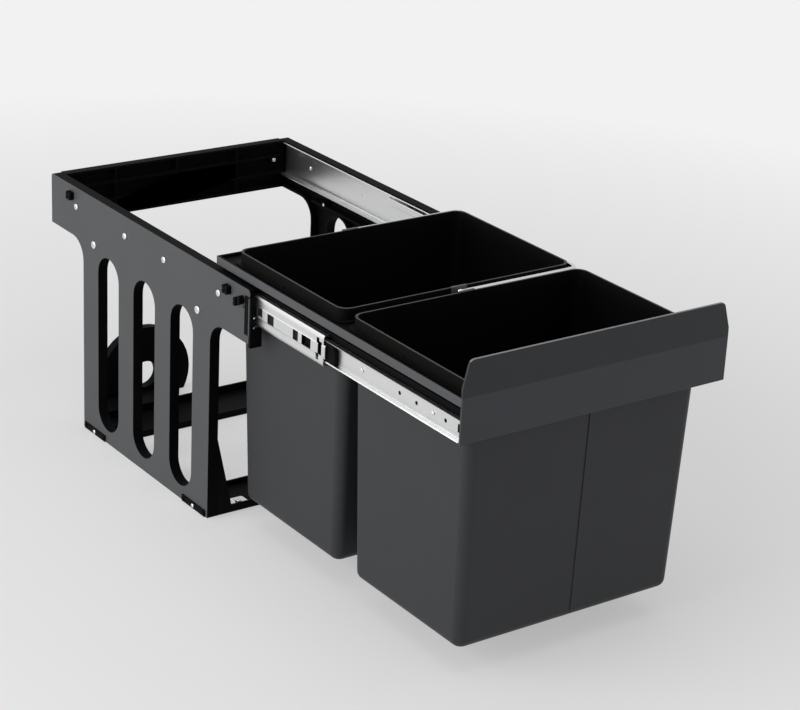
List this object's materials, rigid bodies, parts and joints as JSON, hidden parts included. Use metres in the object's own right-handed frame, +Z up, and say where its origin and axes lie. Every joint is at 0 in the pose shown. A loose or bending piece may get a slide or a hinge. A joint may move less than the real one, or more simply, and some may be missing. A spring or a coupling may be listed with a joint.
{
  "type": "pull out trash cabinet",
  "caption": "Pull-out waste unit for a kitchen base cupboard: lift-out bins hang in a carriage on ball slides between slotted side plates, behind a low front panel.",
  "frame": {"origin": "middle of the front foot beam's underside, on the cupboard's floor", "axes": "+Z up, +Y into the cupboard and the way the carriage closes, +X to the right as seen from the front"},
  "size_m": [0.348, 0.8476, 0.364],
  "materials": {
    "plate_plastic": "moulded, fine texture, dark grey",
    "black_plastic": "moulded, satin black",
    "bin_plastic": "moulded polypropylene, satin anthracite",
    "panel_plastic": "satin anthracite board",
    "zinc_steel": "bright zinc-plated sheet",
    "screw_steel": "bright zinc-plated fasteners",
    "handle_wire": "satin plated wire"
  },
  "bodies": {
    "frame": {"side_plate_left": "plate_plastic", "rail_screw_left_1": "screw_steel", "rail_screw_left_2": "screw_steel", "rail_screw_left_3": "screw_steel", "rail_screw_left_4": "screw_steel", "plate_screw_left_1": "screw_steel", "plate_screw_left_2": "screw_steel", "fixed_rail_left": "zinc_steel", "end_block_left": "black_plastic", "floor_bracket_left": "zinc_steel", "floor_screw_left": "screw_steel", "floor_clip_front_left": "black_plastic", "clip_screw_front_left": "screw_steel", "floor_clip_rear_left": "black_plastic", "clip_screw_rear_left": "screw_steel", "rear_beam_screw_left": "screw_steel", "side_plate_right": "plate_plastic", "rail_screw_right_1": "screw_steel", "rail_screw_right_2": "screw_steel", "rail_screw_right_3": "screw_steel", "rail_screw_right_4": "screw_steel", "plate_screw_right_1": "screw_steel", "plate_screw_right_2": "screw_steel", "fixed_rail_right": "zinc_steel", "end_block_right": "black_plastic", "floor_bracket_right": "zinc_steel", "floor_screw_right": "screw_steel", "floor_clip_front_right": "black_plastic", "clip_screw_front_right": "screw_steel", "floor_clip_rear_right": "black_plastic", "clip_screw_rear_right": "screw_steel", "rear_beam_screw_right": "screw_steel", "front_foot_beam": "black_plastic", "rear_foot_beam": "black_plastic", "rear_top_beam": "black_plastic", "rear_ring": "black_plastic"},
    "carriage": {"carriage_frame": "black_plastic", "front_panel": "panel_plastic", "panel_screw_1": "screw_steel", "panel_screw_2": "screw_steel", "inner_rail_left": "zinc_steel", "rail_rivet_left_1": "screw_steel", "rail_rivet_left_2": "screw_steel", "release_lever_left": "black_plastic", "inner_rail_right": "zinc_steel", "rail_rivet_right_1": "screw_steel", "rail_rivet_right_2": "screw_steel", "release_lever_right": "black_plastic"},
    "middle_rail_left": {"middle_rail_left": "zinc_steel"},
    "outer_cage_left": {"outer_ball_cage_left": "zinc_steel"},
    "inner_cage_left": {"inner_ball_cage_left": "zinc_steel"},
    "middle_rail_right": {"middle_rail_right": "zinc_steel"},
    "outer_cage_right": {"outer_ball_cage_right": "zinc_steel"},
    "inner_cage_right": {"inner_ball_cage_right": "zinc_steel"},
    "rear_bin": {"rear_bin": "bin_plastic"},
    "front_bin": {"front_bin": "bin_plastic"},
    "handle": {"bin_handle": "handle_wire"}
  },
  "joints": [
    {"name": "carriage_slide", "type": "slide", "parent": "frame", "child": "carriage", "axis": [0, 1, 0], "range_m": [0, 0.366]},
    {"name": "middle_rail_left_slide", "type": "slide", "parent": "frame", "child": "middle_rail_left", "axis": [0, 1, 0], "range_m": [0, 0.1831]},
    {"name": "outer_cage_left_slide", "type": "slide", "parent": "frame", "child": "outer_cage_left", "axis": [0, 1, 0], "range_m": [0, 0.0916]},
    {"name": "inner_cage_left_slide", "type": "slide", "parent": "frame", "child": "inner_cage_left", "axis": [0, 1, 0], "range_m": [0, 0.2746]},
    {"name": "middle_rail_right_slide", "type": "slide", "parent": "frame", "child": "middle_rail_right", "axis": [0, 1, 0], "range_m": [0, 0.1831]},
    {"name": "outer_cage_right_slide", "type": "slide", "parent": "frame", "child": "outer_cage_right", "axis": [0, 1, 0], "range_m": [0, 0.0916]},
    {"name": "inner_cage_right_slide", "type": "slide", "parent": "frame", "child": "inner_cage_right", "axis": [0, 1, 0], "range_m": [0, 0.2746]},
    {"name": "rear_bin_lift", "type": "slide", "parent": "carriage", "child": "rear_bin", "axis": [0, 0, 1], "range_m": [0, 0.3]},
    {"name": "front_bin_lift", "type": "slide", "parent": "carriage", "child": "front_bin", "axis": [0, 0, 1], "range_m": [0, 0.3]},
    {"name": "handle_hinge", "type": "hinge", "parent": "rear_bin", "child": "handle", "pos_m": [-0.004, -0.15713, 0.3285], "axis": [0, -1, 0], "range_deg": [0, 180]}
  ],
  "couplings": [
    {"joint": "middle_rail_left_slide", "follows": "carriage_slide", "ratio": 0.5},
    {"joint": "outer_cage_left_slide", "follows": "carriage_slide", "ratio": 0.25},
    {"joint": "inner_cage_left_slide", "follows": "carriage_slide", "ratio": 0.75},
    {"joint": "middle_rail_right_slide", "follows": "carriage_slide", "ratio": 0.5},
    {"joint": "outer_cage_right_slide", "follows": "carriage_slide", "ratio": 0.25},
    {"joint": "inner_cage_right_slide", "follows": "carriage_slide", "ratio": 0.75}
  ]
}
